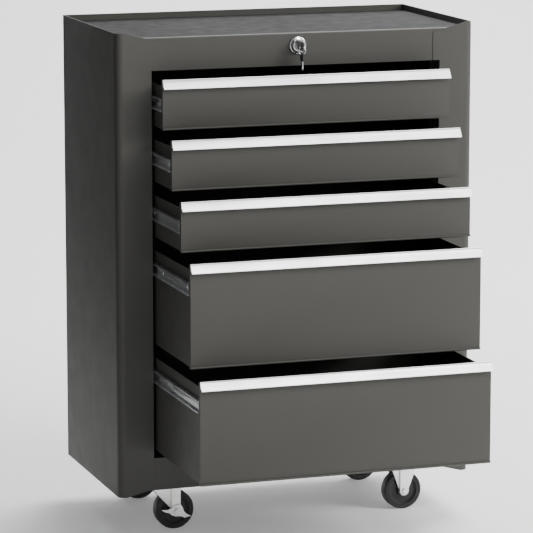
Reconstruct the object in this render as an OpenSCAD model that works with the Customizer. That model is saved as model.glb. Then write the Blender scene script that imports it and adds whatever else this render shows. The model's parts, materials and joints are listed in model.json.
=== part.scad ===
// Rolling tool chest: a folded sheet-steel cabinet on two swivel and two rigid casters,
// with five drawers on ball-bearing slides and one lock that holds them all.
// Millimetres. +X is to the right, +Y to the back and +Z up. The floor is z = 0, and the origin
// is under the middle of the chest as stored, with its drawers drawn out in steps.

/* [Cabinet] */
// Width over the side panels
cabinet_w = 616; // [500:1:760]
// Depth from the front face to the back
cabinet_d = 324; // [270:1:420]
// Thickness of the steel sheet
sheet_t = 1; // [0.8:0.1:1.4]
// Floor to the lowest edge of the side panels
floor_gap = 72; // [68:1:90]
// Outside radius of the two front corners
corner_r = 12; // [8:1:14]
// Width of each front stile, from the outside to the drawer opening
stile_w = 59.5; // [52:0.5:75]
// Height of the sill above the lowest edge of the side panels
sill_h = 63; // [52:1:90]
// Height of the side panels above the drawer opening
head_h = 62; // [62:1:90]
// How far the rims stand above the front lip, and the panels below the kick rail
rim_h = 9; // [6:1:9]

/* [Drawers] */
// Height of a small drawer front
small_front_h = 81; // [68:1:110]
// Height of a large drawer front
large_front_h = 168; // [120:1:220]
// Gap between one front and the next
front_gap = 10; // [6:1:16]
// Gap over the top front
top_gap = 9; // [6:1:14]
// Gap under the bottom front
bottom_gap = 11; // [6:1:16]
// Clearance between a front and each side of the opening
front_side_gap = 3; // [2:0.5:5]
// How far a closed front stands proud of the cabinet
front_proud = 2.5; // [1:0.5:5]
// Depth of a front's folded edge
front_return = 7; // [5:1:12]
// How far a slide's two members still overlap with the drawer fully out
slide_overlap = 37; // [31:1:71]
// Travel that the lowest drawer has left as stored
open_reserve = 8.5; // [0:0.5:30]

/* [Slides] */
// Height of a slide's cabinet member
rail_h = 27; // [24:1:35]
// Thickness of a complete slide
slide_t = 10; // [9:0.5:12]
// Thickness of the slide's steel
slide_sheet = 1.2; // [1:0.1:1.5]
// Diameter of the slide's balls
ball_d = 2.5; // [2:0.1:3]
// Top of a front to the middle of its slides
slide_drop = 42; // [34:1:44]

/* [Pulls] */
// How far a pull's lower edge stands in front of the drawer front
pull_reach = 9.8; // [7:0.1:14]
// Height of a pull's sloping face with its upper lip
pull_h = 15; // [12:0.5:22]
// Thickness of the aluminium
pull_t = 1.6; // [1.2:0.1:2.2]

/* [Top] */
// Thickness of the rubber mat
mat_t = 3; // [2:0.5:3]
// Depth of the header's top lip, front to back
lip_d = 10; // [8:1:16]

/* [Lock] */
// Underside of the top tray to the middle of the lock
lock_drop = 14.5; // [14.5:0.5:15.5]
// Diameter of the lock's bezel
bezel_d = 28; // [24:1:28]
// Diameter of the turning plug
plug_d = 12.8; // [11:0.1:14]
// Radius of the crank at the end of the lock rod
crank_r = 12; // [10:0.5:13]
// Diameter of the lock rod
rod_d = 6; // [5:0.5:7]

/* [Casters] */
// Diameter of a wheel
wheel_d = 66; // [58:0.5:68]
// Width of a wheel's hub
hub_w = 23; // [18:0.5:26]
// Diameter of a wheel's axle
axle_d = 8; // [6:0.5:10]
// Distance from the swivel axis to the axle
trail = 22; // [18:1:26]
// Left side of the cabinet to the swivel axes
swivel_inset = 87; // [70:1:110]
// Right side of the cabinet to the rigid casters
rigid_inset = 100; // [60:1:120]
// Front or back of the cabinet to the casters
caster_inset = 57; // [55:1:80]
// Side of a caster's square plate
plate_w = 60; // [58:1:70]
// Distance between a plate's bolts
bolt_pitch = 44; // [42:1:50]

/* [Hidden] */
$fn = 48;

// Colours
paint = "#4b4b48";
steel = "#a9abac";
bright_zinc = "#d6d7d4";
aluminium = "#e2e3e1";
rubber = "#2b2b2b";
black_plastic = "#161616";

eps = 0.01;
fit = 0.05;                 // radial running clearance of a shaft in its hole

// Drawers, from the top down
front_h = [small_front_h, small_front_h, small_front_h, large_front_h, large_front_h];
drawer_count = len(front_h);
function sum_to(list, n) = n <= 0 ? 0 : list[n - 1] + sum_to(list, n - 1);
opening_h = top_gap + sum_to(front_h, drawer_count) + (drawer_count - 1) * front_gap + bottom_gap;
opening_w = cabinet_w - 2 * stile_w;

// Heights above the floor
panel_h = sill_h + opening_h + head_h;
sill_z = floor_gap + sill_h;
head_z = sill_z + opening_h;
top_z = floor_gap + panel_h;
lip_z = top_z - rim_h;
kick_z = floor_gap + rim_h;
base_z = kick_z + sheet_t;              // underside of the base pan, where the casters bolt on
mat_sink = 1;                           // the mat lies this far below the lip
tray_z = lip_z - mat_sink - mat_t;      // upper face of the tray's floor
lock_z = tray_z - sheet_t - lock_drop;

// Depths, from the cabinet's front face, at y = 0 in the modules, to its back
header_y = sheet_t;                     // the rails lie behind the stiles
back_in = cabinet_d - 2 * sheet_t;      // inner face of the back panel
bar_zone = 14;                          // room for the lock bar behind a closed drawer
front_d = sheet_t + front_return;
box_d = back_in - bar_zone - front_d + front_proud;
box_drop = 12;                          // top of a front to the top of its box
rail_y = 16;
rail_back_gap = 6;                      // end of a slide to the back panel
rail_len = back_in - rail_y - rail_back_gap;
runner_setback = 1;
runner_len = box_d - runner_setback - 5;
runner_end = front_d - front_proud + runner_setback + runner_len;
travel = runner_end - rail_y - slide_overlap;
function open_of(i) = (travel - open_reserve) * (i + 1) / drawer_count;
function front_top(i) = head_z - top_gap - sum_to(front_h, i) - i * front_gap;
function front_y(i) = -front_proud - open_of(i);

// The origin lies midway between the back and the lowest drawer's pull
origin_y = (cabinet_d + front_y(drawer_count - 1) - pull_reach) / 2;

// Slide section: distances outward from the drawer's wall, and heights from its middle
box_side_gap = 7;                       // drawer wall to the side of the opening
box_w = opening_w - 2 * box_side_gap;
rail_lip_in = rail_h / 2 - slide_sheet; // inner face of the rail's lips
runner_h = 2 * (rail_lip_in - ball_d - 2 * fit);
runner_d = box_side_gap - 1;
rail_mouth = 3;
cage_web = slide_t - slide_sheet - 1.9;
cage_t = 0.8;
cage_len = slide_overlap - 3;
ball_z = runner_h / 2 + fit + ball_d / 2;
ball_s = 4.6;
balls_per_row = 5;
screw_r = 2;
screw_head_r = 3.4;
runner_screw_at = [9, 18, 150, runner_len - 20];

// Slide uprights
upright_w = 30;
upright_t = 1.5;
upright_inset = 6;          // end of a slide to the front upright
upright_back = 16;          // rear upright to the back panel
upright_at = [rail_y + upright_inset, back_in - upright_back - upright_w];
pan_flange_h = 15;

// Folded edges
stile_return = 14;
back_flange = 20;
rail_end = 20;              // side of the cabinet to the end of the header and kick rails
slope_from = 14;
slope_to = 48;
tab_drop = 4;
tab_w = 12;
tab_r = 5;
lip_r = 2;

// Lock
bezel_depth = 10;
barrel_r = 9.4;
barrel_len = 22;
plug_len = 26;
slot_w = 2.2;
slot_h = 8.6;
crank_t = 3;
crank_u = 5.5;              // crank to the back panel
pin_d = 4;
bar_x = -crank_r * (1 + cos(45)) / 2;
bar_w = 27;
bar_t = 2.5;
bar_u = 0.5;                // lock bar to the back panel
bar_lift = 2 * crank_r * sin(45);
catch_w = 16;
catch_drop = 6;             // top of a drawer's back wall to its catch
catch_lip = 10;
catch_t = 1.5;
catch_u = [5, 7];
hook_u = [9, 11];
hook_h = 14;
hook_below = catch_lip + 6 + bar_lift; // hook's shelf below the catch with the bar down
guide_t = 1;

// Key
key_t = 2;
head_t = 3.5;
key_head = [17, 15];
key_hole_at = 12;
ring_r = 6;
ring_wire = 1.3;
key_hole_r = 2.2;
hang = 0.5;                 // a ring or key hangs this far off its seat

// Casters
wheel_r = wheel_d / 2;
axle_r = axle_d / 2;
plate_t = 2.5;
leg_t = 2;
leg_in = hub_w / 2 + 1;
rib_w = 15;
rib_t = 3;
rib_face = leg_in + leg_t + rib_t;       // middle of a wheel to the outer face of a rib
leg_r = 9;
leg_edge = 4;               // height of a leg's upright edge under the crown
rigid_leg_half = 23;        // half width of a rigid leg under its plate
crown_z = wheel_d + 3;
crown_t = 2.2;
race_h = 3;
race_r = 14;
kingpin_r = 4;
bolt_r = 3;
hex_r = 5.4;
lever_t = 2.8;
nut_t = 5;
nut_w = 8;
boss_r = 9.5;

// ---------------------------------------------------------------- helpers

// Everything is modelled from the cabinet's front left corner in plan, then moved to the origin.
module placed() {
    translate([-cabinet_w / 2, -origin_y, 0]) children();
}

// Child and its mirror image across the cabinet
module both_sides() {
    children();
    translate([cabinet_w, 0, 0]) mirror([1, 0, 0]) children();
}

// A profile drawn in (y, z) and carried along +X
module along_x(length) {
    rotate([90, 0, 90]) linear_extrude(length) children();
}

// A profile drawn in (x, z) and carried along +Y
module along_y(length) {
    translate([0, length, 0]) rotate([90, 0, 0]) linear_extrude(length) children();
}

// Cylinder along +Y, from its own origin
module rod_y(r, length) {
    rotate([-90, 0, 0]) cylinder(r = r, h = length);
}

// Cylinder along +X, from its own origin
module rod_x(r, length) {
    rotate([0, 90, 0]) cylinder(r = r, h = length);
}

// Quarter of a bent sheet, centred on the bend, in the quadrant of -X and -Y
module bend(r, t) {
    intersection() {
        difference() {
            circle(r);
            circle(r - t);
        }
        translate([-r, -r]) square(r);
    }
}

// Plan of the cabinet's outside drawn in by a given distance, with its round front corners
module cabinet_plan(inset, back_inset) {
    translate([inset, corner_r]) square([cabinet_w - 2 * inset, cabinet_d - corner_r - back_inset]);
    translate([corner_r, inset]) square([cabinet_w - 2 * corner_r, corner_r]);
    for (x = [corner_r, cabinet_w - corner_r])
        translate([x, corner_r]) circle(corner_r - inset);
}

// Plan of a pan that fits in the cabinet behind the front rails
module pan_plan(wall) {
    intersection() {
        cabinet_plan(sheet_t + wall, 2 * sheet_t + wall);
        translate([0, 2 * sheet_t]) square([cabinet_w, cabinet_d]);
    }
}

module pan(flange_h) {
    linear_extrude(sheet_t) pan_plan(0);
    linear_extrude(flange_h) difference() {
        pan_plan(0);
        pan_plan(sheet_t);
    }
}

// Centres of the four casters' plates
swivel_at = [[swivel_inset, caster_inset], [swivel_inset, cabinet_d - caster_inset]];
rigid_at = [[cabinet_w - rigid_inset, caster_inset], [cabinet_w - rigid_inset, cabinet_d - caster_inset]];

module at_bolts() {
    for (at = concat(swivel_at, rigid_at), sx = [-1, 1], sy = [-1, 1])
        translate([at[0] + sx * bolt_pitch / 2, at[1] + sy * bolt_pitch / 2, 0]) children();
}

// ---------------------------------------------------------------- cabinet

module side_plan() {
    translate([0, corner_r]) square([sheet_t, cabinet_d - corner_r]);
    translate([corner_r, corner_r]) bend(corner_r, sheet_t);
    translate([corner_r, 0]) square([stile_w - corner_r, sheet_t]);
    translate([0, cabinet_d - sheet_t]) square([back_flange, sheet_t]);
}

// The tab of a stile that laps over the end of the header, in (x, z)
module stile_tab() {
    h = lip_z - tab_drop - head_z;
    square([tab_w + sheet_t - tab_r, h]);
    square([tab_w + sheet_t, h - tab_r]);
    translate([tab_w + sheet_t - tab_r, h - tab_r]) circle(tab_r);
}

module side_panel() {
    difference() {
        translate([0, 0, floor_gap]) linear_extrude(panel_h) side_plan();
        // the slopes that take the panel's ends down to the lip and up to the kick rail
        translate([0, -1, 0]) along_y(sheet_t + 2) {
            polygon([
                [slope_from, top_z + 1], [slope_from, top_z], [slope_to, lip_z],
                [slope_to + tab_drop, lip_z - tab_drop], [stile_w + 1, lip_z - tab_drop],
                [stile_w + 1, top_z + 1]
            ]);
            polygon([
                [slope_from, floor_gap - 1], [slope_from, floor_gap], [slope_to, kick_z],
                [stile_w + 1, kick_z], [stile_w + 1, floor_gap - 1]
            ]);
        }
    }
    translate([stile_w - sheet_t, 0, sill_z]) cube([sheet_t, stile_return, opening_h]);
    translate([stile_w - sheet_t, 0, head_z]) along_y(sheet_t) stile_tab();
}

module left_side_panel() {
    color(paint) placed() side_panel();
}

module right_side_panel() {
    color(paint) placed() translate([cabinet_w, 0, 0]) mirror([1, 0, 0]) side_panel();
}

module back_panel() {
    color(paint) placed()
        translate([sheet_t, back_in, base_z]) cube([cabinet_w - 2 * sheet_t, sheet_t, top_z - base_z]);
}

module base_pan() {
    color(paint) placed() difference() {
        translate([0, 0, base_z]) pan(pan_flange_h);
        at_bolts() translate([0, 0, base_z - 1]) cylinder(r = bolt_r + 0.2, h = sheet_t + 2);
    }
}

module top_tray() {
    color(paint) placed()
        translate([0, 0, tray_z - sheet_t]) pan(top_z - tray_z + sheet_t);
}

module top_mat() {
    gap = 1;
    y0 = header_y + lip_d + gap;
    color(rubber) placed() translate([2 * sheet_t + gap, y0, tray_z])
        cube([cabinet_w - 4 * sheet_t - 2 * gap, back_in - sheet_t - gap - y0, mat_t]);
}

// Profile of the header in (y, z) from its lower front edge: flange, face, rounded lip and hem
module header_profile() {
    h = lip_z - head_z;
    square([stile_return, sheet_t]);
    square([sheet_t, h - lip_r]);
    translate([lip_r, h - lip_r]) mirror([0, 1]) bend(lip_r, sheet_t);
    translate([lip_r, h - sheet_t]) square([lip_d - lip_r, sheet_t]);
    translate([lip_d - sheet_t, tray_z - head_z]) square([sheet_t, lip_z - tray_z]);
}

module header_rail() {
    color(paint) placed() difference() {
        translate([rail_end, header_y, head_z]) along_x(cabinet_w - 2 * rail_end) header_profile();
        translate([cabinet_w / 2, 0, lock_z]) rod_y(barrel_r + 0.1, header_y + sheet_t + 1);
    }
}

module kick_rail() {
    h = sill_z - kick_z;
    color(paint) placed() translate([rail_end, header_y, kick_z]) along_x(cabinet_w - 2 * rail_end) {
        square([sheet_t, h]);
        square([stile_return - 2, sheet_t]);
        translate([0, h - sheet_t]) square([stile_return, sheet_t]);
    }
}

// ---------------------------------------------------------------- slides

rail_x = stile_w + box_side_gap - slide_t;   // outer face of a left-hand rail
wall_x = stile_w + box_side_gap;             // outer face of a drawer's left wall
function slide_z(i) = front_top(i) - slide_drop;

module upright() {
    z0 = base_z + sheet_t + pan_flange_h;
    translate([0, 0, z0]) linear_extrude(tray_z - sheet_t - z0) {
        translate([rail_x - upright_t, 0]) square([upright_t, upright_w]);
        for (y = [0, upright_w - upright_t])
            translate([sheet_t, y]) square([rail_x - sheet_t, upright_t]);
    }
}

module uprights() {
    difference() {
        for (y = upright_at) translate([0, y, 0]) upright();
        for (i = [0 : drawer_count - 1], y = upright_at)
            translate([rail_x - upright_t - 1, y + upright_w / 2, slide_z(i)])
                rod_x(screw_r + fit, upright_t + 2);
    }
}

module left_uprights() {
    color(steel) placed() uprights();
}

module right_uprights() {
    color(steel) placed() translate([cabinet_w, 0, 0]) mirror([1, 0, 0]) uprights();
}

// Cabinet member of a slide: a channel open towards the drawer
module rail() {
    difference() {
        along_y(rail_len) for (s = [-1, 1]) {
            translate([0, -rail_h / 2]) square([slide_sheet, rail_h]);
            translate([0, s > 0 ? rail_lip_in : -rail_h / 2]) square([slide_t - rail_mouth, slide_sheet]);
        }
        for (y = upright_at)
            translate([-1, y + upright_w / 2 - rail_y, 0]) rod_x(screw_r + fit, slide_sheet + 2);
    }
}

module slide_rails() {
    color(steel) placed() both_sides() for (i = [0 : drawer_count - 1])
        translate([rail_x, rail_y, slide_z(i)]) rail();
}

// A flat-headed rivet through a wall of thickness grip, its head on the +X side
module rivet(grip) {
    translate([-grip - 0.8, 0, 0]) rod_x(screw_head_r - 0.6, 0.8);
    translate([-grip - eps, 0, 0]) rod_x(screw_r, grip + 2 * eps);
    rod_x(screw_head_r, 0.5);
}

module rail_screws() {
    color(bright_zinc) placed() both_sides() for (i = [0 : drawer_count - 1], y = upright_at)
        translate([rail_x + slide_sheet, y + upright_w / 2, slide_z(i)]) rivet(slide_sheet + upright_t);
}

// Drawer member of a slide, from the drawer's wall outwards along -X
module runner() {
    difference() {
        along_y(runner_len) for (s = [-1, 1]) {
            translate([-slide_sheet, -runner_h / 2]) square([slide_sheet, runner_h]);
            translate([-runner_d, s > 0 ? runner_h / 2 - slide_sheet : -runner_h / 2])
                square([runner_d, slide_sheet]);
        }
        for (y = runner_screw_at) translate([-slide_sheet - 1, y, 0]) rod_x(screw_r + fit, slide_sheet + 2);
    }
}

// Retainer with its two rows of balls, in the same place as a runner
module ball_cage() {
    translate([-cage_web - cage_t, -cage_len / 2, -ball_z - cage_t / 2])
        cube([cage_t, cage_len, 2 * ball_z + cage_t]);
    for (s = [-1, 1]) translate([0, 0, s * ball_z]) {
        translate([-cage_web - cage_t / 2, -cage_len / 2, -cage_t / 2])
            cube([cage_web - rail_mouth, cage_len, cage_t]);
        for (n = [0 : balls_per_row - 1])
            translate([-ball_s, (n - (balls_per_row - 1) / 2) * (cage_len - 6) / (balls_per_row - 1), 0])
                sphere(d = ball_d);
    }
}

// ---------------------------------------------------------------- drawers

// The box: one folded sheet, with the catch that the lock bar's hook holds
module drawer_box(i) {
    z0 = front_top(i) - front_h[i];
    h = front_top(i) - box_drop - z0;
    wall = sheet_t;
    color(paint) placed() translate([wall_x, front_y(i) + front_d, z0]) {
        difference() {
            cube([box_w, box_d, h]);
            translate([wall, wall, wall]) cube([box_w - 2 * wall, box_d - 2 * wall, h]);
            for (x = [-1, box_w - wall - 1], y = runner_screw_at)
                translate([x, y + runner_setback, slide_z(i) - z0]) rod_x(screw_r + fit, wall + 2);
        }
        translate([cabinet_w / 2 - wall_x + bar_x - catch_w / 2, box_d, h - catch_drop]) {
            cube([catch_w, bar_zone - catch_u[0], catch_t]);
            translate([0, bar_zone - catch_u[1], -catch_lip])
                cube([catch_w, catch_u[1] - catch_u[0], catch_lip]);
        }
    }
}

// The front: a face with folded edges, and a rolled bead along its lower edge
module drawer_front(i) {
    w = opening_w - 2 * front_side_gap;
    h = front_h[i] - pull_t;
    bead_r = 1.8;
    color(paint) placed() translate([stile_w + front_side_gap, front_y(i), front_top(i) - front_h[i]]) {
        difference() {
            cube([w, front_d, h]);
            translate([sheet_t, sheet_t, sheet_t]) cube([w - 2 * sheet_t, front_d, h - 2 * sheet_t]);
        }
        translate([0, -bead_r / 2, bead_r]) rod_x(bead_r, w);
    }
}

// Profile of a pull in (y, z) from the top edge of the drawer front's face
module pull_profile() {
    lip = 2.3;
    base = pull_t + 0.3;
    web_h = pull_h - 2;
    // hook over the front's top edge, and the web down its face
    translate([-base, -pull_t]) square([base + sheet_t, pull_t]);
    translate([-pull_t, -web_h]) square([pull_t, web_h]);
    // sloping face, with a bead along its lower edge
    polygon([
        [-base, 0], [-base, -lip], [-pull_reach, -pull_h + 0.8], [-pull_reach + 0.9, -pull_h],
        [-pull_t + eps, -lip - pull_t], [-pull_t + eps, 0]
    ]);
    translate([-pull_reach + 1, -pull_h + 1]) circle(1);
}

module drawer_pull(i) {
    color(aluminium) placed() translate([stile_w + front_side_gap, front_y(i), front_top(i)])
        along_x(opening_w - 2 * front_side_gap) pull_profile();
}

module drawer_runners(i) {
    y0 = front_y(i) + front_d + runner_setback;
    color(steel) placed() both_sides() translate([wall_x, y0, slide_z(i)]) {
        runner();
        for (y = runner_screw_at)
            translate([-slide_sheet, y, 0]) mirror([1, 0, 0]) rivet(slide_sheet + sheet_t);
    }
}

// The cages travel half as far as the drawer
module drawer_ball_cages(i) {
    open_y = rail_y + cage_len / 2 + 1;
    color(steel) placed() both_sides()
        translate([wall_x, open_y + (travel - open_of(i)) / 2, slide_z(i)]) ball_cage();
}

// ---------------------------------------------------------------- lock

// Places a lock part on the lock's axis, with y = 0 at the header's face
module at_lock() {
    placed() translate([cabinet_w / 2, header_y, lock_z]) children();
}

module lock_housing() {
    color(bright_zinc) at_lock() difference() {
        union() {
            translate([0, -3, 0]) rod_y(bezel_d / 2, 3);
            translate([0, -bezel_depth, 0]) rotate([-90, 0, 0])
                cylinder(r1 = bezel_d / 2 - 3.5, r2 = bezel_d / 2 - 1, h = bezel_depth - 3 + eps);
            translate([0, -eps, 0]) rod_y(barrel_r, barrel_len);
        }
        translate([0, -bezel_depth - 1, 0]) rod_y(plug_d / 2 + fit, bezel_depth + barrel_len + 2);
    }
}

module lock_nut() {
    nut_r = barrel_r + 4.4;
    color(steel) at_lock() translate([0, sheet_t, 0]) difference() {
        rotate([-90, 0, 0]) cylinder(r = nut_r, h = 4, $fn = 6);
        translate([0, -1, 0]) rod_y(barrel_r + fit, 6);
    }
}

module lock_plug() {
    color(bright_zinc) at_lock() difference() {
        translate([0, 0.3 - bezel_depth, 0]) rod_y(plug_d / 2, bezel_depth + plug_len);
        translate([-slot_w / 2, -bezel_depth - 1, -slot_h / 2]) cube([slot_w, bezel_depth + 16, slot_h]);
    }
}

// Outline of the crank in (x, z), with its pin to the left of the rod
module crank_outline() {
    circle(rod_d / 2 + 4);
    translate([-crank_r, -pin_d / 2]) square([crank_r, pin_d]);
    translate([-crank_r, 0]) circle(pin_d / 2 + 1.2);
}

// The rod turns with the plug and raises the lock bar with the pin of its crank
module lock_rod() {
    rod_y0 = plug_len + 0.3;
    crank_y = back_in - header_y - crank_u - crank_t;
    color(steel) at_lock() {
        translate([0, rod_y0, 0]) rod_y(rod_d / 2, crank_y - rod_y0 + crank_t / 2);
        translate([0, crank_y, 0]) rotate([0, -45, 0]) {
            along_y(crank_t) crank_outline();
            translate([-crank_r, crank_t / 2, 0]) rod_y(pin_d / 2, crank_t / 2 + crank_u - 0.3);
        }
    }
}

// Key blade and bow in the lock's y and z, thin along x
module key() {
    bow_y = -bezel_depth - 1 - key_head[0];
    color(black_plastic) at_lock() {
        translate([-key_t / 2, -bezel_depth - 1.5, -3.5]) cube([key_t, bezel_depth + 15, 7]);
        difference() {
            translate([-head_t / 2, bow_y, -key_head[1] / 2]) cube([head_t, key_head[0], key_head[1]]);
            translate([-head_t, bow_y + key_head[0] - key_hole_at, 0]) rod_x(key_hole_r, 2 * head_t);
        }
    }
}

ring_y = -bezel_depth - 1 - key_hole_at;     // the ring hangs in the bow's hole
ring_z = hang - key_hole_r - ring_r + ring_wire / 2;

module key_ring() {
    color(bright_zinc) at_lock() translate([0, ring_y, ring_z]) rotate([90, 0, 0])
        rotate_extrude() translate([ring_r, 0]) circle(d = ring_wire, $fn = 24);
}

spare_z = ring_z - ring_r + ring_wire / 2 + hang - key_hole_r; // centre of the spare key's hole

module spare_key() {
    bow = [13, 14];
    blade = 15;
    color(black_plastic) at_lock() translate([0, ring_y, spare_z]) {
        difference() {
            translate([-head_t / 2, -bow[0] / 2, -bow[1] + 4]) cube([head_t, bow[0], bow[1]]);
            translate([-head_t, 0, 0]) rod_x(key_hole_r, 2 * head_t);
        }
        translate([-key_t / 2, -3, -bow[1] + 4 - blade]) cube([key_t, 6, blade + 1]);
    }
}

function catch_z(i) = front_top(i) - box_drop - catch_drop;

// The bar stands on the back panel: a strip with a slot for the crank's pin and a hook per drawer
module lock_bar() {
    bar_y = back_in - bar_u - bar_t;
    pin_z = lock_z - crank_r * sin(45);
    slot_clear = 0.5;
    z0 = catch_z(drawer_count - 1) - hook_below - 24 - bar_lift;
    bar_top = tray_z - sheet_t - bar_lift - 1.2;
    color(steel) placed() translate([cabinet_w / 2 + bar_x, 0, 0]) {
        difference() {
            translate([-bar_w / 2, bar_y, z0]) cube([bar_w, bar_t, bar_top - z0]);
            translate([-crank_r - bar_x - pin_d / 2 - slot_clear, bar_y - 1, pin_z - pin_d / 2 - slot_clear])
                cube([crank_r * (1 - cos(45)) + pin_d + 2 * slot_clear, bar_t + 2, pin_d + 2 * slot_clear]);
        }
        for (i = [0 : drawer_count - 1]) translate([-catch_w / 2, back_in, catch_z(i) - hook_below]) {
            translate([0, -hook_u[1], 0]) cube([catch_w, hook_u[1] - bar_u - bar_t + eps, catch_t]);
            translate([0, -hook_u[1], 0]) cube([catch_w, hook_u[1] - hook_u[0], hook_h]);
        }
    }
}

// Straps that hold the bar to the back panel, and the bracket that carries the rod's end
module lock_bar_guides() {
    strap = [bar_w + 16, 14];
    gap = 0.3;
    wall_u = bar_u + bar_t + gap;
    bearing = [12, 14];
    color(steel) placed() translate([cabinet_w / 2, back_in, 0]) {
        for (i = [0, 2, 3, 4]) translate([bar_x, 0, catch_z(i) - hook_below - 14]) difference() {
            translate([-strap[0] / 2, -wall_u - guide_t, -strap[1] / 2])
                cube([strap[0], wall_u + guide_t, strap[1]]);
            translate([-bar_w / 2 - gap, -wall_u, -strap[1]])
                cube([bar_w + 2 * gap, wall_u + 1, 2 * strap[1]]);
        }
        translate([0, 0, lock_z]) difference() {
            translate([-9, -bearing[1], -9]) cube([22, bearing[1], 18]);
            translate([-10, -bearing[0], -10]) cube([21, bearing[0] + 1, 20]);
            translate([0, -bearing[1] - 1, 0]) rod_y(rod_d / 2 + fit, bearing[1]);
        }
    }
}

// ---------------------------------------------------------------- casters

module wheel_profile() {
    half = hub_w / 2;
    tread = half - 1;
    web = 5.5;
    hub_r = axle_r + 6.5;
    rim_r = wheel_r - 9;
    shoulder = 1.5;
    bore = axle_r + fit;
    polygon([
        [bore, -half], [hub_r, -half], [hub_r + 1, -web], [rim_r - 1, -web], [rim_r, -tread],
        [wheel_r - shoulder, -tread], [wheel_r, shoulder - tread], [wheel_r, tread - shoulder],
        [wheel_r - shoulder, tread],
        [rim_r, tread], [rim_r - 1, web], [hub_r + 1, web], [hub_r, half], [bore, half]
    ]);
}

// A wheel whose axle lies along y, at the given place in plan
module wheel_at(at) {
    color(rubber) placed() translate([at[0], at[1], wheel_r]) rotate([90, 0, 0])
        rotate_extrude() wheel_profile();
}

function swivel_axle_at(n) = [swivel_at[n][0] + trail, swivel_at[n][1]];

// Outline of a fork's leg in (x, z), with its axle at x = 0
module leg_outline(left, right, top_z) {
    polygon([
        [-left, top_z], [right, top_z], [right, top_z - leg_edge], [leg_r, wheel_r + 4], [leg_r, wheel_r],
        [-leg_r, wheel_r], [-leg_r, wheel_r + 4], [-left, top_z - leg_edge]
    ]);
    translate([0, wheel_r]) circle(leg_r);
}

// A pressed rib with sloping sides, from a leg's face along +Y, rounded about the axle
module rib(top_z) {
    translate([0, 0, wheel_r]) {
        linear_extrude(top_z - wheel_r)
            polygon([[-leg_r, 0], [leg_r, 0], [rib_w / 2, rib_t], [-rib_w / 2, rib_t]]);
        rotate([-90, 0, 0]) cylinder(r1 = leg_r, r2 = rib_w / 2, h = rib_t);
    }
}

// Both legs, each with its pressed rib, drilled for the axle
module legs(left, right, top_z) {
    difference() {
        for (s = [0, 1]) mirror([0, s, 0]) translate([0, leg_in, 0]) {
            along_y(leg_t) leg_outline(left, right, top_z);
            translate([0, leg_t, 0]) rib(top_z);
        }
        translate([0, -rib_face - 1, wheel_r]) rod_y(axle_r + fit, 2 * (rib_face + 1));
    }
}

// A square plate with its four bolt holes, under the base pan
module caster_plate() {
    translate([0, 0, base_z - plate_t]) difference() {
        translate([-plate_w / 2, -plate_w / 2, 0]) cube([plate_w, plate_w, plate_t]);
        for (sx = [-1, 1], sy = [-1, 1]) translate([sx * bolt_pitch / 2, sy * bolt_pitch / 2, -1])
            cylinder(r = bolt_r + 0.2, h = plate_t + 2);
    }
}

module swivel_plates() {
    cup_z = crown_z + crown_t + race_h + 0.3;
    color(bright_zinc) placed() for (at = swivel_at) translate([at[0], at[1], 0]) {
        caster_plate();
        translate([0, 0, cup_z])
            cylinder(r1 = race_r + 3, r2 = race_r + 6, h = base_z - plate_t - cup_z + eps);
        translate([0, 0, crown_z - 4]) cylinder(r = kingpin_r, h = cup_z - crown_z + 4 + eps);
        translate([0, 0, crown_z - 4]) cylinder(r = kingpin_r + 2.5, h = 3.7);
    }
}

module swivel_fork(n) {
    back = trail + race_r;
    color(bright_zinc) placed() translate([swivel_axle_at(n)[0], swivel_axle_at(n)[1], 0]) {
        legs(back, leg_r, crown_z + crown_t);
        difference() {
            union() {
                translate([-back, -leg_in - eps, crown_z]) cube([back + leg_r, 2 * (leg_in + eps), crown_t]);
                translate([-trail, 0, crown_z + crown_t - eps])
                    cylinder(r1 = race_r, r2 = race_r - 2, h = race_h + eps);
            }
            translate([-trail, 0, crown_z - 1]) cylinder(r = kingpin_r + fit, h = crown_t + race_h + 2);
        }
    }
}

module swivel_axle(n) {
    head_t = 4;
    front = rib_face + 0.2 + lever_t + nut_t + 1;
    color(bright_zinc) placed() translate([swivel_axle_at(n)[0], swivel_axle_at(n)[1], wheel_r]) {
        translate([0, -front, 0]) rod_y(axle_r, front + rib_face + eps);
        translate([0, rib_face, 0]) rotate([-90, 0, 0]) cylinder(r = axle_r + 2.6, h = head_t, $fn = 6);
    }
}

// The two wings of the brake lever, in (x, z) from the axle: each is hollow on one side, to a point
module right_wing() {
    polygon([
        [0, 9], [4.5, 11.3], [8, 9.3], [10.4, 5.2], [12.4, -1.3], [17, -6.2], [25.5, -11.3],
        [20, -11], [13.7, -12.8], [9, -10], [4, -9.4], [0, -9]
    ]);
}

module left_wing() {
    polygon([
        [0, 9], [-6, 6.8], [-10.4, 4.4], [-15, 3], [-20.5, 2.7], [-26.7, 3.5],
        [-21.7, 0], [-17, -1.8], [-12.4, -2.9], [-8.4, -6.8], [0, -9]
    ]);
}

module brake_lever(n) {
    color(bright_zinc) placed()
        translate([swivel_axle_at(n)[0], swivel_axle_at(n)[1] - rib_face - 0.2 - lever_t, wheel_r]) {
            difference() {
                along_y(lever_t) {
                    circle(boss_r);
                    right_wing();
                    left_wing();
                }
                translate([0, -1, 0]) rod_y(axle_r + fit, lever_t + 2);
            }
            translate([0, -nut_t, 0]) difference() {
                rotate([0, 45, 0]) translate([-nut_w / 2, 0, -nut_w / 2]) cube([nut_w, nut_t, nut_w]);
                translate([0, -1, 0]) rod_y(axle_r + fit, nut_t + 2);
            }
        }
}

module rigid_forks() {
    color(bright_zinc) placed() for (at = rigid_at) translate([at[0], at[1], 0]) {
        caster_plate();
        legs(rigid_leg_half, rigid_leg_half, base_z - plate_t + eps);
    }
}

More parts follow.
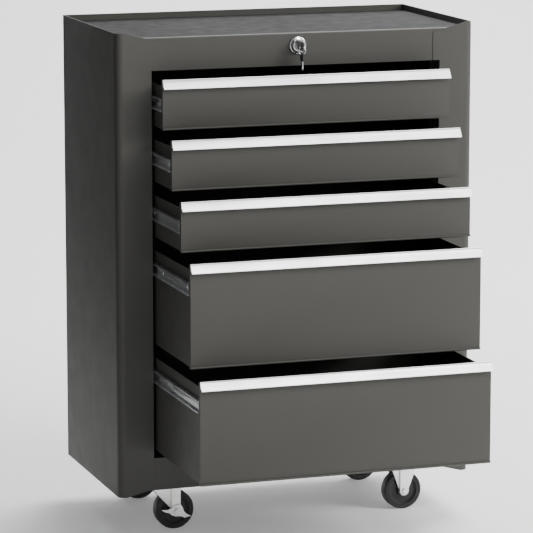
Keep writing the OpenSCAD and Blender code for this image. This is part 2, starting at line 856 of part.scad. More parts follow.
module rigid_axles() {
    color(bright_zinc) placed() for (at = rigid_at) translate([at[0], at[1], wheel_r]) {
        translate([0, -rib_face - eps, 0]) rod_y(axle_r, 2 * (rib_face + eps));
        for (s = [0, 1]) mirror([0, s, 0]) translate([0, rib_face, 0]) rotate([-90, 0, 0])
            cylinder(r1 = axle_r + 1.8, r2 = axle_r, h = 1.8);
    }
}

module caster_bolts() {
    color(bright_zinc) placed() at_bolts() {
        translate([0, 0, base_z - plate_t - 4]) cylinder(r = hex_r, h = 4, $fn = 6);
        translate([0, 0, base_z - plate_t - eps]) cylinder(r = bolt_r, h = plate_t + sheet_t + 7);
        translate([0, 0, base_z + sheet_t]) cylinder(r = hex_r, h = 5, $fn = 6);
    }
}

// ---------------------------------------------------------------- nodes

left_side_panel();
right_side_panel();
back_panel();
base_pan();
top_tray();
top_mat();
header_rail();
kick_rail();
left_uprights();
right_uprights();
slide_rails();
rail_screws();
lock_housing();
lock_nut();
lock_plug();
lock_rod();
key();
key_ring();
spare_key();
lock_bar();
lock_bar_guides();
for (i = [0 : drawer_count - 1]) {
    drawer_box(i);
    drawer_front(i);
    drawer_pull(i);
    drawer_runners(i);
    drawer_ball_cages(i);
}
caster_bolts();
swivel_plates();
swivel_fork(0);  // swivel_fork_front
swivel_fork(1);  // swivel_fork_rear
swivel_axle(0);  // swivel_axle_front
swivel_axle(1);  // swivel_axle_rear
wheel_at(swivel_axle_at(0));  // swivel_wheel_front
wheel_at(swivel_axle_at(1));  // swivel_wheel_rear
brake_lever(0);  // brake_lever_front
brake_lever(1);  // brake_lever_rear
rigid_forks();
rigid_axles();
wheel_at(rigid_at[0]);  // rigid_wheel_front
wheel_at(rigid_at[1]);  // rigid_wheel_rear
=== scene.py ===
"""Looks of a rolling tool chest, built around its packed construction.

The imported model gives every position. Its sheet-metal nodes are shown as copies whose edges are
eased, and the mat, pulls, wheels and keys are surfaces worked out here. Lengths are in metres.
"""

import json
import logging
import math
from dataclasses import dataclass, field
from enum import Enum

import bmesh
import bpy
import numpy as np
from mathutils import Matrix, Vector

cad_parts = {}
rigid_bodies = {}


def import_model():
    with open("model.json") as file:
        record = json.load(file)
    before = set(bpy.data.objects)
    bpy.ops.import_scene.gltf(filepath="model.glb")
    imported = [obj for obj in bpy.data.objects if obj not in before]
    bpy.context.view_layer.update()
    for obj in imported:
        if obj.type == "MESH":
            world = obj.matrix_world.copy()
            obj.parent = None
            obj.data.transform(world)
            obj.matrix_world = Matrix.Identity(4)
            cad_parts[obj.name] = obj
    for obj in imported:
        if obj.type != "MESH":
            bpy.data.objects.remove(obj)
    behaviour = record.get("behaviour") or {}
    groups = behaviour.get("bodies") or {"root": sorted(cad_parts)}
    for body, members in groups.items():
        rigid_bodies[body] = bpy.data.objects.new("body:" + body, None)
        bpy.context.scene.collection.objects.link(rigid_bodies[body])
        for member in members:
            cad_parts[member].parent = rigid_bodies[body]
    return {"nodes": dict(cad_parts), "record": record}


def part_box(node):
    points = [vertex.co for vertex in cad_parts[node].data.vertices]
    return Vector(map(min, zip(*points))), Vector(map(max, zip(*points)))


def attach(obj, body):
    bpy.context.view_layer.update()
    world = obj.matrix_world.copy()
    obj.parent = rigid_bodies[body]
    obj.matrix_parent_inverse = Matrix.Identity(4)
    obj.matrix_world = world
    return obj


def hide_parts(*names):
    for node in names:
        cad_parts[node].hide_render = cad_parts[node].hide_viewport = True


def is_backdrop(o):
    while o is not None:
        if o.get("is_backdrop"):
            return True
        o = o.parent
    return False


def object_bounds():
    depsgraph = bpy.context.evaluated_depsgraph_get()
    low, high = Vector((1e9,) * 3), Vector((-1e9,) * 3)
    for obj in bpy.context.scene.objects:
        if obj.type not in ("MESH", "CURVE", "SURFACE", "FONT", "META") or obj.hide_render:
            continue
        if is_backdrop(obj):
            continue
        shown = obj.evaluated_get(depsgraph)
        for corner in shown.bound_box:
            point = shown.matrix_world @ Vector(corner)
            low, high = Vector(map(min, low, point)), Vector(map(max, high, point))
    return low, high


LOG = logging.getLogger("tool_chest")
MM = 0.001
DRAWERS = range(1, 6)
Colour = tuple[float, float, float]
Box = tuple[np.ndarray, np.ndarray]


class Slot(Enum):
    """Material slots that the record names."""

    PAINT = "grey_paint"
    ALUMINIUM = "brushed_aluminium"
    CHROME = "chrome"
    ZINC = "bright_zinc"
    STEEL = "galvanised_steel"
    MAT = "mat_rubber"
    WHEEL = "wheel_rubber"
    KEY = "key_plastic"


class End(Enum):
    """Ends of the cabinet, front and rear, where the casters stand."""

    FRONT = "front"
    REAR = "rear"


# ------------------------------------------------------------------ materials


class Shade:
    """Node graph of one material, with a method for each kind of node the finishes share."""

    def __init__(self, name: str) -> None:
        """Makes the material with a Principled shader and object coordinates.

        Args:
            name: name of the material.
        """
        self.material = bpy.data.materials.new(name)
        self.material.use_nodes = True
        self.tree = self.material.node_tree
        self.tree.nodes.clear()
        output = self.tree.nodes.new("ShaderNodeOutputMaterial")
        self.shader = self.tree.nodes.new("ShaderNodeBsdfPrincipled")
        self.tree.links.new(self.shader.outputs[0], output.inputs[0])
        self.coords = self.tree.nodes.new("ShaderNodeTexCoord").outputs["Object"]

    def set(self, **values: float | tuple) -> None:
        """Sets constants on the shader's own sockets; an underscore stands for a space."""
        for key, value in values.items():
            self.shader.inputs[key.replace("_", " ")].default_value = value

    def drive(self, socket: str, source: bpy.types.NodeSocket) -> None:
        """Links a source to one of the shader's sockets."""
        self.tree.links.new(source, self.shader.inputs[socket])

    def stretched(self, along: tuple[float, float, float]) -> bpy.types.NodeSocket:
        """Object coordinates multiplied by a factor along each axis.

        Args:
            along: the factor along x, y and z.

        Returns:
            The coordinates.
        """
        node = self.tree.nodes.new("ShaderNodeMapping")
        node.inputs["Scale"].default_value = along
        self.tree.links.new(self.coords, node.inputs["Vector"])
        return node.outputs[0]

    def noise(self, scale: float, detail: float = 3.0,
              vector: bpy.types.NodeSocket | None = None) -> bpy.types.NodeSocket:
        """Noise from 0 to 1.

        Args:
            scale: cells a metre.
            detail: octaves of finer noise.
            vector: coordinates, or None for the object's own.

        Returns:
            The noise.
        """
        node = self.tree.nodes.new("ShaderNodeTexNoise")
        node.inputs["Scale"].default_value = scale
        node.inputs["Detail"].default_value = detail
        self.tree.links.new(vector or self.coords, node.inputs["Vector"])
        return node.outputs[0]

    def cells(self, scale: float) -> bpy.types.NodeSocket:
        """A random grey for each crystal of a Voronoi pattern.

        Args:
            scale: crystals a metre.

        Returns:
            The grey.
        """
        node = self.tree.nodes.new("ShaderNodeTexVoronoi")
        node.inputs["Scale"].default_value = scale
        self.tree.links.new(self.coords, node.inputs["Vector"])
        grey = self.tree.nodes.new("ShaderNodeRGBToBW")
        self.tree.links.new(node.outputs["Color"], grey.inputs[0])
        return grey.outputs[0]

    def span(self, source: bpy.types.NodeSocket, low: float, high: float,
             start: float = 0.3, end: float = 0.7) -> bpy.types.NodeSocket:
        """A source between start and end, mapped to run from low to high.

        Args:
            source: the value to map.
            low: result at the start.
            high: result at the end.
            start: value where the result is low.
            end: value where the result is high.

        Returns:
            The mapped value.
        """
        node = self.tree.nodes.new("ShaderNodeMapRange")
        for key, value in zip(("From Min", "From Max", "To Min", "To Max"), (start, end, low, high)):
            node.inputs[key].default_value = value
        self.tree.links.new(source, node.inputs["Value"])
        return node.outputs[0]

    def between(self, factor: bpy.types.NodeSocket, first: Colour, second: Colour) -> bpy.types.NodeSocket:
        """Colour between two colours.

        Args:
            factor: 0 for the first colour and 1 for the second.
            first: the first colour.
            second: the second colour.

        Returns:
            The colour.
        """
        node = self.tree.nodes.new("ShaderNodeMix")
        node.data_type = "RGBA"
        node.inputs[6].default_value = (*first, 1)
        node.inputs[7].default_value = (*second, 1)
        self.tree.links.new(factor, node.inputs["Factor"])
        return node.outputs[2]

    def emboss(self, heights: list[tuple[bpy.types.NodeSocket, float]]) -> None:
        """Chains bumps into the shader's normal.

        Args:
            heights: pairs of a height from 0 to 1 and its depth in metres.
        """
        previous = None
        for height, depth in heights:
            node = self.tree.nodes.new("ShaderNodeBump")
            node.inputs["Distance"].default_value = depth
            self.tree.links.new(height, node.inputs["Height"])
            if previous:
                self.tree.links.new(previous, node.inputs["Normal"])
            previous = node.outputs[0]
        self.drive("Normal", previous)


def tone(colour: Colour, factor: float) -> Colour:
    """A colour made lighter or darker by a factor."""
    return tuple(c * factor for c in colour)


@dataclass(frozen=True)
class Paint:
    """Satin powder paint: slight mottling, orange-peel bump and uneven gloss."""

    name: str
    colour: Colour
    roughness: float = 0.5
    sheen: float = 0.2

    def make(self) -> bpy.types.Material:
        """Returns the material."""
        s = Shade(self.name)
        mottle = s.noise(9, 5)
        s.drive("Base Color", s.between(mottle, tone(self.colour, 0.97), tone(self.colour, 1.03)))
        s.drive("Roughness", s.span(s.noise(30, 6), self.roughness - 0.03, self.roughness + 0.04))
        s.emboss([(s.noise(520, 2), 0.00004), (s.noise(1900, 2), 0.00001)])
        s.set(Specular_IOR_Level=self.sheen)
        return s.material


@dataclass(frozen=True)
class Brushed:
    """Aluminium brushed along its length, with faint handling marks."""

    name: str
    colour: Colour

    def make(self) -> bpy.types.Material:
        """Returns the material."""
        s = Shade(self.name)
        grain = s.noise(1, 4, s.stretched((6, 2600, 2600)))
        s.drive("Base Color", s.between(grain, tone(self.colour, 0.84), self.colour))
        s.drive("Roughness", s.span(s.noise(14, 5), 0.3, 0.42))
        s.emboss([(grain, 0.00003)])
        s.set(Metallic=1.0, Anisotropic=0.5)
        return s.material


@dataclass(frozen=True)
class Plated:
    """Zinc, galvanised or chromed metal, with crystals or scratches in its gloss."""

    name: str
    colour: Colour
    gloss: tuple[float, float]
    crystals: float = 0.0
    scratches: float = 0.00001

    def make(self) -> bpy.types.Material:
        """Returns the material."""
        s = Shade(self.name)
        pattern = s.cells(self.crystals) if self.crystals else s.noise(60, 4)
        s.drive("Base Color", s.between(pattern, tone(self.colour, 0.88), self.colour))
        s.drive("Roughness", s.span(pattern, *self.gloss))
        s.emboss([(s.noise(1, 3, s.stretched((300, 60, 1400))), self.scratches)])
        s.set(Metallic=1.0)
        return s.material


@dataclass(frozen=True)
class Moulded:
    """Rubber or plastic with a fine moulded grain and a little dust."""

    name: str
    colour: Colour
    dust: Colour
    gloss: tuple[float, float]
    grain: float = 0.00005
    sheen: float = 0.5

    def make(self) -> bpy.types.Material:
        """Returns the material."""
        s = Shade(self.name)
        s.drive("Base Color", s.between(s.span(s.noise(24, 7), 0, 1, 0.45, 0.85), self.colour, self.dust))
        s.drive("Roughness", s.span(s.noise(45, 4), *self.gloss))
        s.emboss([(s.noise(900, 3), self.grain)])
        s.set(Specular_IOR_Level=self.sheen)
        return s.material


class Palette:
    """The chest's finishes, each made once."""

    def __init__(self) -> None:
        """Makes every material."""
        self.by_slot = {
            Slot.PAINT: Paint("grey_satin_paint", (0.062, 0.0605, 0.0545)).make(),
            Slot.ALUMINIUM: Brushed("brushed_aluminium", (0.9, 0.9, 0.89)).make(),
            Slot.CHROME: Plated("polished_chrome", (0.9, 0.9, 0.9), (0.04, 0.1)).make(),
            Slot.ZINC: Plated("bright_zinc", (0.97, 0.97, 0.95), (0.3, 0.44)).make(),
            Slot.STEEL: Plated("galvanised_steel", (0.88, 0.89, 0.9), (0.32, 0.5), 160).make(),
            Slot.MAT: Moulded("ribbed_rubber", (0.01, 0.01, 0.01), (0.016, 0.016, 0.0155), (0.5, 0.62),
                               sheen=0.25).make(),
            Slot.WHEEL: Moulded("wheel_rubber", (0.009, 0.009, 0.009), (0.022, 0.022, 0.021),
                                (0.34, 0.55)).make(),
            Slot.KEY: Moulded("key_plastic", (0.01, 0.01, 0.01), (0.025, 0.025, 0.025), (0.25, 0.4)).make(),
        }
        self.key_blade = Plated("key_blade_nickel", (0.7, 0.69, 0.66), (0.16, 0.3)).make()


# ------------------------------------------------------------------ surfaces


def quads(rows: int, columns: int, wrap_rows: bool, wrap_columns: bool) -> np.ndarray:
    """Four-cornered faces of a grid of points numbered row by row.

    Args:
        rows: number of rows of points.
        columns: number of points a row.
        wrap_rows: whether the last row joins the first.
        wrap_columns: whether the last point of a row joins its first.

    Returns:
        An array of faces, each four point numbers.
    """
    i, j = np.meshgrid(np.arange(rows if wrap_rows else rows - 1),
                       np.arange(columns if wrap_columns else columns - 1), indexing="ij")
    after, beside = (i + 1) % rows, (j + 1) % columns
    corners = (i * columns + j, i * columns + beside, after * columns + beside, after * columns + j)
    return np.stack([c.ravel() for c in corners], axis=1)


def rounded(points: list[tuple[float, float, float]], steps: int = 5) -> np.ndarray:
    """Closed outline whose corners are replaced by arcs.

    At a corner of half-angle h, an arc of radius r touches both sides r / tan(h) from the corner.
    It is drawn as a quadratic curve from one touching point to the other, pulled to the corner.

    Args:
        points: the corners in order, each with its own radius.
        steps: points on each arc.

    Returns:
        The outline's points, one pair a row.
    """
    corner = np.array([p[:2] for p in points])
    radius = np.array([p[2] for p in points])
    before = np.roll(corner, 1, axis=0) - corner
    after = np.roll(corner, -1, axis=0) - corner
    reach = np.minimum(np.linalg.norm(before, axis=1), np.linalg.norm(after, axis=1)) * 0.48
    u = before / np.linalg.norm(before, axis=1)[:, None]
    v = after / np.linalg.norm(after, axis=1)[:, None]
    half = np.arccos(np.clip((u * v).sum(axis=1), -1, 1)) / 2
    length = np.minimum(radius / np.maximum(np.tan(half), 1e-6), reach)[:, None]
    start, end = corner + u * length, corner + v * length
    t = np.linspace(0, 1, steps)[None, :, None]
    curve = (1 - t) ** 2 * start[:, None] + 2 * t * (1 - t) * corner[:, None] + t**2 * end[:, None]
    return curve.reshape(-1, 2)


@dataclass
class Piece:
    """A finished mesh on its way into the scene."""

    name: str
    body: str
    slot: Slot
    material: bpy.types.Material
    replaces: tuple[str, ...] = ()

    def place(self, mesh: bpy.types.Mesh, smooth_deg: float = 35.0) -> bpy.types.Object:
        """Adds the mesh as a piece that rides on its body.

        Args:
            mesh: the mesh, in the row frame.
            smooth_deg: edges sharper than this stay sharp.

        Returns:
            The new object.
        """
        mesh.shade_smooth()
        mesh.set_sharp_from_angle(angle=math.radians(smooth_deg))
        mesh.materials.clear()
        mesh.materials.append(self.material)
        made = bpy.data.objects.new(self.name, mesh)
        bpy.context.scene.collection.objects.link(made)
        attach(made, self.body)
        if self.replaces:
            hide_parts(*self.replaces)
        LOG.info("%s rides on %s, %d faces", self.name, self.body, len(mesh.polygons))
        return made

    def from_arrays(self, points: np.ndarray, faces: list, smooth_deg: float = 35.0) -> bpy.types.Object:
        """Adds a mesh made of points and faces, with its faces turned outwards.

        Args:
            points: one point a row.
            faces: point numbers of each face.
            smooth_deg: edges sharper than this stay sharp.

        Returns:
            The new object.
        """
        mesh = bpy.data.meshes.new(self.name)
        mesh.from_pydata(points.tolist(), [], faces)
        work = bmesh.new()
        work.from_mesh(mesh)
        bmesh.ops.remove_doubles(work, verts=work.verts, dist=1e-6)
        bmesh.ops.recalc_face_normals(work, faces=work.faces)
        work.to_mesh(mesh)
        work.free()
        return self.place(mesh, smooth_deg)

    def carried(self, outline: np.ndarray, stations: np.ndarray, axis: int,
                smooth_deg: float = 35.0) -> bpy.types.Object:
        """Adds a closed outline carried along an axis and capped at both ends.

        A point is the outline's pair of coordinates in the two other axes, in their order, with
        the station as its coordinate along the axis.

        Args:
            outline: closed outline, one pair a row.
            stations: places along the axis.
            axis: 0, 1 or 2 for x, y or z.
            smooth_deg: edges sharper than this stay sharp.

        Returns:
            The new object.
        """
        n, m = len(stations), len(outline)
        points = np.empty((n, m, 3))
        others = [a for a in range(3) if a != axis]
        points[:, :, axis] = stations[:, None]
        points[:, :, others] = outline[None]
        faces = quads(n, m, False, True).tolist()
        faces += [list(range(m)), list(range((n - 1) * m, n * m))]
        return self.from_arrays(points.reshape(-1, 3), faces, smooth_deg)

    def turned(self, profile: np.ndarray, centre: Vector, steps: int = 96,
               smooth_deg: float = 35.0) -> bpy.types.Object:
        """Adds a closed profile turned about an axis along y.

        A point of radius r and offset d at angle a lies at (r cos a, d, r sin a) from the centre.

        Args:
            profile: closed profile, a radius and an offset along y a row.
            centre: a point on the axis.
            steps: points round the axis.
            smooth_deg: edges sharper than this stay sharp.

        Returns:
            The new object.
        """
        angle = np.linspace(0, 2 * np.pi, steps, endpoint=False)[:, None]
        radius, offset = profile[None, :, 0], profile[None, :, 1]
        points = np.stack([radius * np.cos(angle), offset + 0 * angle, radius * np.sin(angle)], axis=-1)
        points = points.reshape(-1, 3) + np.array(centre)
        faces = quads(steps, len(profile), True, True).tolist()
        return self.from_arrays(points, faces, smooth_deg)


def box_of(node: str) -> Box:
    """A construction node's lowest and highest corners as arrays."""
    low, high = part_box(node)
    return np.array(low), np.array(high)


def eased(node: str, body: str, slot: Slot, material: bpy.types.Material,
          width: float, segments: int = 2) -> bpy.types.Object:
    """Shows a construction node as a copy whose sharp edges are eased.

    Args:
        node: the node to stand for.
        body: the body it rides on.
        slot: the record's slot.
        material: its finish.
        width: width of the eased edge.
        segments: facets across the eased edge.

    Returns:
        The copy.
    """
    mesh = bpy.data.objects[node].data.copy()
    work = bmesh.new()
    work.from_mesh(mesh)
    bmesh.ops.remove_doubles(work, verts=work.verts, dist=2e-6)
    bmesh.ops.dissolve_limit(work, angle_limit=math.radians(0.5), verts=work.verts, edges=work.edges)
    work.to_mesh(mesh)
    work.free()
    made = Piece(f"{node}_eased", body, slot, material, (node,)).place(mesh)
    bevel = made.modifiers.new("eased_edges", "BEVEL")
    bevel.width = width
    bevel.segments = segments
    bevel.limit_method = "ANGLE"
    bevel.angle_limit = math.radians(40)
    bevel.harden_normals = True
    return made


# ------------------------------------------------------------------ sub-assemblies


@dataclass
class Cabinet:
    """Painted shell, its uprights and rails, and the ribbed mat on top."""

    palette: Palette
    edge: float = 0.35 * MM
    rib_pitch: float = 4.2 * MM
    rib_height: float = 1.8 * MM
    points_a_rib: int = 8
    shell: tuple[str, ...] = ("left_side_panel", "right_side_panel", "header_rail", "kick_rail",
                              "top_tray", "back_panel")

    def build(self) -> None:
        """Builds the shell and the mat."""
        paint = self.palette.by_slot[Slot.PAINT]
        for node in self.shell:
            eased(node, "cabinet", Slot.PAINT, paint, self.edge)
        self.mat()

    def mat(self) -> None:
        """Mat with ribs from front to back.

        The height at x is the top less the rib's height times (1 - |cos(pi x / pitch)|), so that
        rounded ribs meet in narrow grooves.
        """
        low, high = box_of("top_mat")
        count = int((high[0] - low[0]) / self.rib_pitch) * self.points_a_rib
        x = np.linspace(low[0], high[0], count + 1)
        wave = np.abs(np.cos(np.pi * (x - low[0]) / self.rib_pitch))
        top = high[2] - self.rib_height * (1 - wave)
        upper = np.stack([x, top], axis=1)
        floor = np.stack([x, np.full_like(x, low[2])], axis=1)
        stations = np.linspace(low[1], high[1], 3)
        n, m = len(stations), len(x)
        sheet = np.empty((2, n, m, 3))
        for layer, line in enumerate((upper, floor)):
            sheet[layer, :, :, 0] = line[:, 0]
            sheet[layer, :, :, 1] = stations[:, None]
            sheet[layer, :, :, 2] = line[:, 1]
        faces = quads(n, m, False, False)
        rims = []
        for row in (0, n - 1):
            start = row * m + np.arange(m - 1)
            rims.append(np.stack([start, start + 1, start + 1 + n * m, start + n * m], axis=1))
        for column in (0, m - 1):
            start = np.arange(n - 1) * m + column
            rims.append(np.stack([start, start + m, start + m + n * m, start + n * m], axis=1))
        every = np.concatenate([faces, faces + n * m, *rims]).tolist()
        piece = Piece("ribbed_mat", "cabinet", Slot.MAT, self.palette.by_slot[Slot.MAT], ("top_mat",))
        piece.from_arrays(sheet.reshape(-1, 3), every, 60)


@dataclass
class Drawer:
    """One drawer: its box, front, pull and slides."""

    palette: Palette
    number: int
    edge: float = 0.35 * MM
    sheet: float = 1.6 * MM
    lip: float = 2.3 * MM
    web_rise: float = 3.5 * MM
    bead_stand: float = 2.7 * MM

    def build(self) -> None:
        """Builds the drawer's pieces."""
        body = f"drawer_{self.number}"
        paint = self.palette.by_slot[Slot.PAINT]
        eased(f"{body}_box", body, Slot.PAINT, paint, self.edge)
        eased(f"{body}_front", body, Slot.PAINT, paint, self.edge)
        eased(f"{body}_runners", body, Slot.STEEL, self.palette.by_slot[Slot.STEEL], 0.25 * MM)
        self.pull(body)

    def pull(self, body: str) -> None:
        """Aluminium pull, whose outline is a hook, a lip and a sloping face with a rolled edge."""
        low, high = box_of(f"{body}_pull")
        front = box_of(f"{body}_front")
        face_y = front[1][1] - self.front_depth(front)
        back = high[1]
        top, bottom = high[2], low[2]
        lip_y = face_y - self.sheet - 0.3 * MM
        foot_z = bottom
        web_z = foot_z + self.web_rise
        outline = rounded([
            (back, top, 0.4 * MM), (lip_y, top, 0.9 * MM), (lip_y, top - self.lip, 0.5 * MM),
            (low[1], foot_z + 0.9 * MM, 0.9 * MM), (low[1] + 1.1 * MM, foot_z, 0.9 * MM),
            (face_y - self.sheet, top - self.lip - self.sheet, 0.3 * MM),
            (face_y - self.sheet, web_z, 0.3 * MM), (face_y, web_z, 0.3 * MM),
            (face_y, top - self.sheet, 0.2 * MM), (back, top - self.sheet, 0.3 * MM),
        ])
        stations = np.array([low[0], low[0] + 0.3 * MM, high[0] - 0.3 * MM, high[0]])
        piece = Piece(f"{body}_pull_brushed", body, Slot.ALUMINIUM,
                      self.palette.by_slot[Slot.ALUMINIUM], (f"{body}_pull",))
        piece.carried(outline, stations, 0, 30)

    def front_depth(self, front: Box) -> float:
        """Depth of the front behind its face, which the rolled lower edge stands before."""
        return front[1][1] - front[0][1] - self.bead_stand


@dataclass
class Lock:
    """Lock, its key, the ring and the spare key."""

    palette: Palette
    key_head_share: float = 0.41
    spare_head_share: float = 0.483
    key_blade_half: float = 3.4 * MM
    spare_blade_half: float = 2.9 * MM
    head_corner: float = 3.2 * MM

    def build(self) -> None:
        """Builds the lock's visible pieces."""
        chrome = self.palette.by_slot[Slot.CHROME]
        eased("lock_housing", "cabinet", Slot.CHROME, chrome, 0.5 * MM, 3)
        eased("lock_plug", "lock_core", Slot.CHROME, chrome, 0.3 * MM, 2)
        self.keys()

    def keys(self) -> None:
        """Key in the plug and the spare on the ring, each a moulded head and a nickel blade."""
        self.key("key", "lock_core", lengthwise=1)
        self.key("spare_key", "spare_key", lengthwise=2)

    def key(self, node: str, body: str, lengthwise: int) -> None:
        """One key.

        Args:
            node: its construction node, thin along x.
            body: the body it rides on.
            lengthwise: axis of its blade, 1 for y or 2 for z.
        """
        low, high = box_of(node)
        blade_on_high = lengthwise == 1
        span = high[lengthwise] - low[lengthwise]
        head = (self.key_head_share if lengthwise == 1 else self.spare_head_share) * span
        across = 3 - lengthwise
        middle = (low + high) / 2
        half = (high[across] - low[across]) / 2
        start = low[lengthwise] if blade_on_high else high[lengthwise] - head
        ends = (start, start + head)
        outline = []
        for along, side in ((0, -1), (1, -1), (1, 1), (0, 1)):
            pair = {lengthwise: ends[along], across: middle[across] + side * half}
            outline.append((pair[1], pair[2], self.head_corner))
        thick = high[0] - low[0]
        stations = middle[0] + thick * np.array([-0.5, -0.38, 0.38, 0.5])
        head_piece = Piece(f"{node}_head", body, Slot.KEY, self.palette.by_slot[Slot.KEY], (node,))
        self.swelled(head_piece, rounded(outline, 8), stations, middle)
        tip = (ends[1], high[lengthwise]) if blade_on_high else (low[lengthwise], ends[0])
        width = self.key_blade_half if lengthwise == 1 else self.spare_blade_half
        blade = []
        for along, side in ((0, -1), (1, -1), (1, 1), (0, 1)):
            pair = {lengthwise: tip[along], across: middle[across] + side * width}
            blade.append((pair[1], pair[2], 0.9 * MM))
        blade_piece = Piece(f"{node}_blade", body, Slot.STEEL, self.palette.key_blade)
        blade_piece.carried(rounded(blade), middle[0] + MM * np.array([-1.0, 1.0]), 0)

    @staticmethod
    def swelled(piece: Piece, outline: np.ndarray, stations: np.ndarray, middle: np.ndarray) -> None:
        """Head whose outline shrinks by a twelfth at its two faces, so that its rim is rounded."""
        centre = outline.mean(axis=0)
        scale = np.array([0.92, 1.0, 1.0, 0.92])[:, None, None]
        rows = centre + (outline[None] - centre) * scale
        n, m = len(stations), len(outline)
        points = np.concatenate([np.broadcast_to(stations[:, None, None], (n, m, 1)), rows], axis=2)
        faces = quads(n, m, False, True).tolist()
        faces += [list(range(m)), list(range((n - 1) * m, n * m))]
        piece.from_arrays(points.reshape(-1, 3), faces, 50)


@dataclass
class Caster:
    """One wheel with what is seen of its fork and brake."""

    palette: Palette
    end: End
    swivels: bool

    def build(self) -> None:
        """Builds the wheel, and the fork and brake lever of a swivel caster."""
        side = "left" if self.swivels else "right"
        node = f"{'swivel' if self.swivels else 'rigid'}_wheel_{self.end.value}"
        self.wheel(node, f"wheel_{side}_{self.end.value}")
        if self.swivels:
            zinc = self.palette.by_slot[Slot.ZINC]
            body = f"swivel_{self.end.value}"
            eased(f"swivel_fork_{self.end.value}", body, Slot.ZINC, zinc, 0.5 * MM, 3)
            eased(f"swivel_axle_{self.end.value}", body, Slot.ZINC, zinc, 0.4 * MM)
            eased(f"brake_lever_{self.end.value}", f"brake_{self.end.value}", Slot.ZINC, zinc, 0.5 * MM, 3)

    def wheel(self, node: str, body: str) -> None:
        """Wheel turned from a profile with a crowned tread and stepped sides."""
        low, high = box_of(node)
        centre = Vector((low + high) / 2)
        radius, half = (high[2] - low[2]) / 2, (high[1] - low[1]) / 2
        bore = 4.05 * MM
        side = [
            (bore, half, 0.3 * MM), (bore + 6.4 * MM, half, 0.6 * MM), (bore + 7.2 * MM, half - 5 * MM, MM),
            (radius - 12 * MM, half - 5 * MM, 0.5 * MM), (radius - 11.4 * MM, half - 3.6 * MM, 0.4 * MM),
            (radius - 9.8 * MM, half - 3.6 * MM, 0.4 * MM), (radius - 9 * MM, half - MM, 0.6 * MM),
            (radius - 5.4 * MM, half - MM, 0.4 * MM), (radius - 5 * MM, half - 1.7 * MM, 0.3 * MM),
            (radius - 4.4 * MM, half - MM, 0.4 * MM), (radius - 2.4 * MM, half - MM, 1.2 * MM),
            (radius, half - 2.6 * MM, 1.4 * MM),
        ]
        mirrored = [(r, -d, bend) for r, d, bend in reversed(side)]
        piece = Piece(f"{body}_moulded", body, Slot.WHEEL, self.palette.by_slot[Slot.WHEEL], (node,))
        piece.turned(rounded(side + mirrored, 4), centre)


@dataclass
class Hardware:
    """Fixed metal pieces that keep their construction shape."""

    palette: Palette
    zinc: tuple[str, ...] = ("rigid_forks", "rigid_axles", "swivel_plates", "caster_bolts")
    steel: tuple[str, ...] = ("left_uprights", "right_uprights", "slide_rails")

    def build(self) -> None:
        """Eases the edges of the visible hardware."""
        for node in self.zinc:
            eased(node, "cabinet", Slot.ZINC, self.palette.by_slot[Slot.ZINC], 0.4 * MM)
        for node in self.steel:
            eased(node, "cabinet", Slot.STEEL, self.palette.by_slot[Slot.STEEL], 0.3 * MM)


def dress_construction(frame: dict, palette: Palette) -> None:
    """Gives every construction node the finish of its slot in the record.

    Args:
        frame: the loaded frame, with its record and nodes.
        palette: the finishes.
    """
    slots = {row["node"]: row["material_slot"] for row in frame["record"]["subparts"]}
    for name, node in frame["nodes"].items():
        material = palette.by_slot[Slot(slots[name])]
        for place in node.material_slots:
            place.material = material


# ------------------------------------------------------------------ studio


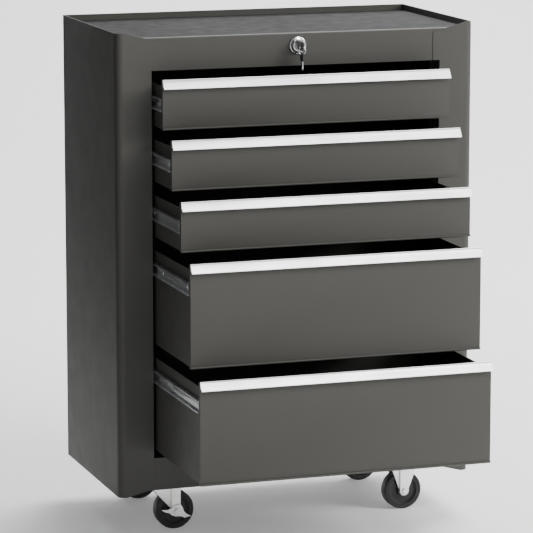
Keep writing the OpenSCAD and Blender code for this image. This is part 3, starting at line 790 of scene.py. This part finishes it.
@dataclass
class Studio:
    """Pale floor and wall, soft lights and the camera."""

    azimuth_deg: float = -18.68
    elevation_deg: float = 10.26
    distance: float = 5.174
    lens: float = 210.4
    aim: tuple[float, float, float] = (-0.0367, 0.0155, 0.0164)
    floor_half: float = 7.0
    wall_y: float = 3.0
    sweep: float = 1.2
    flag_x: float = -0.8
    flag_y: tuple[float, float] = (-0.4, 2.4)
    flag_height: float = 1.9
    lights: list[tuple[str, tuple, float, float]] = field(default_factory=lambda: [
        ("key", (3.4, -2.9, 2.4), 1.7, 172.0),
        ("front", (1.3, -2.6, 3.0), 1.6, 60.0),
        ("backdrop", (1.7, 2.1, 3.8), 2.6, 260.0),
    ])

    def build(self, middle: Vector) -> None:
        """Builds the floor, the lights and the camera.

        Args:
            middle: middle of the chest's box.
        """
        self.floor()
        self.flag()
        self.world()
        for name, place, size, power in self.lights:
            self.light(name, Vector(place), size, power, middle)
        self.camera(middle)

    def floor(self) -> None:
        """Floor that sweeps up into a wall: flat, then a quarter circle, then upright."""
        angle = np.linspace(0, np.pi / 2, 24)
        curve = self.wall_y - self.sweep + self.sweep * np.sin(angle)
        y = np.concatenate([[-self.floor_half], curve, [self.wall_y]])
        z = np.concatenate([[0.0], self.sweep * (1 - np.cos(angle)), [6.0]])
        x = np.array([-self.floor_half, self.floor_half])
        points = np.stack([np.repeat(x, len(y)), np.tile(y, 2), np.tile(z, 2)], axis=1)
        mesh = bpy.data.meshes.new("studio_floor")
        mesh.from_pydata(points.tolist(), [], quads(2, len(y), False, False).tolist())
        mesh.shade_smooth()
        shade = Shade("studio_floor")
        shade.set(Base_Color=(0.94, 0.94, 0.94, 1), Roughness=0.85, Specular_IOR_Level=0.2,
                  Emission_Color=(1, 1, 1, 1), Emission_Strength=0.2)
        mesh.materials.append(shade.material)
        made = bpy.data.objects.new("studio_floor", mesh)
        bpy.context.scene.collection.objects.link(made)
        made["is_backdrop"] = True

    def flag(self) -> None:
        """Black panel left of the chest, unseen and without shadow, that its left side mirrors."""
        (near, far), x, top = self.flag_y, self.flag_x, self.flag_height
        mesh = bpy.data.meshes.new("studio_flag")
        mesh.from_pydata([(x, near, 0), (x, far, 0), (x, far, top), (x, near, top)], [], [(0, 1, 2, 3)])
        shade = Shade("studio_flag")
        shade.set(Base_Color=(0.004, 0.004, 0.004, 1), Roughness=0.9, Specular_IOR_Level=0.0)
        mesh.materials.append(shade.material)
        made = bpy.data.objects.new("studio_flag", mesh)
        made.visible_camera = False
        made.visible_shadow = False
        bpy.context.scene.collection.objects.link(made)
        made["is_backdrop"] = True

    @staticmethod
    def world() -> None:
        """Even pale surroundings."""
        world = bpy.data.worlds.new("surroundings")
        world.use_nodes = True
        backdrop = world.node_tree.nodes["Background"]
        backdrop.inputs[0].default_value = (0.95, 0.97, 1.0, 1)
        backdrop.inputs[1].default_value = 0.5
        bpy.context.scene.world = world

    @staticmethod
    def light(name: str, place: Vector, size: float, power: float, target: Vector) -> None:
        """A square soft light that faces the target.

        Args:
            name: name of the light.
            place: where it stands.
            size: length of its side in metres.
            power: its power in watts.
            target: the point it faces.
        """
        data = bpy.data.lights.new(name, "AREA")
        data.size, data.energy = size, power
        lamp = bpy.data.objects.new(name, data)
        lamp.location = place
        lamp.rotation_euler = (target - place).to_track_quat("-Z", "Y").to_euler()
        bpy.context.scene.collection.objects.link(lamp)

    def camera(self, middle: Vector) -> None:
        """Camera on a circle round the chest, to its left and a little above.

        Args:
            middle: middle of the chest's box.
        """
        azimuth, elevation = math.radians(self.azimuth_deg), math.radians(self.elevation_deg)
        back = Vector((math.sin(azimuth) * math.cos(elevation), -math.cos(azimuth) * math.cos(elevation),
                       math.sin(elevation)))
        data = bpy.data.cameras.new("view")
        data.lens = self.lens
        data.clip_end = 100.0
        camera = bpy.data.objects.new("view", data)
        camera.location = middle + Vector(self.aim) + back * self.distance
        camera.rotation_euler = (-back).to_track_quat("-Z", "Y").to_euler()
        bpy.context.scene.collection.objects.link(camera)
        bpy.context.scene.camera = camera


def main() -> None:
    """Builds the chest in order, then the studio."""
    logging.basicConfig(level=logging.INFO, format="%(name)s: %(message)s")
    for start in list(bpy.data.objects):
        bpy.data.objects.remove(start)
    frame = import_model()
    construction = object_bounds()
    palette = Palette()
    dress_construction(frame, palette)
    Cabinet(palette).build()
    for number in DRAWERS:
        Drawer(palette, number).build()
    Lock(palette).build()
    for end in End:
        Caster(palette, end, swivels=True).build()
        Caster(palette, end, swivels=False).build()
    Hardware(palette).build()
    Studio().build((construction[0] + construction[1]) / 2)


if __name__ == "__main__":
    main()
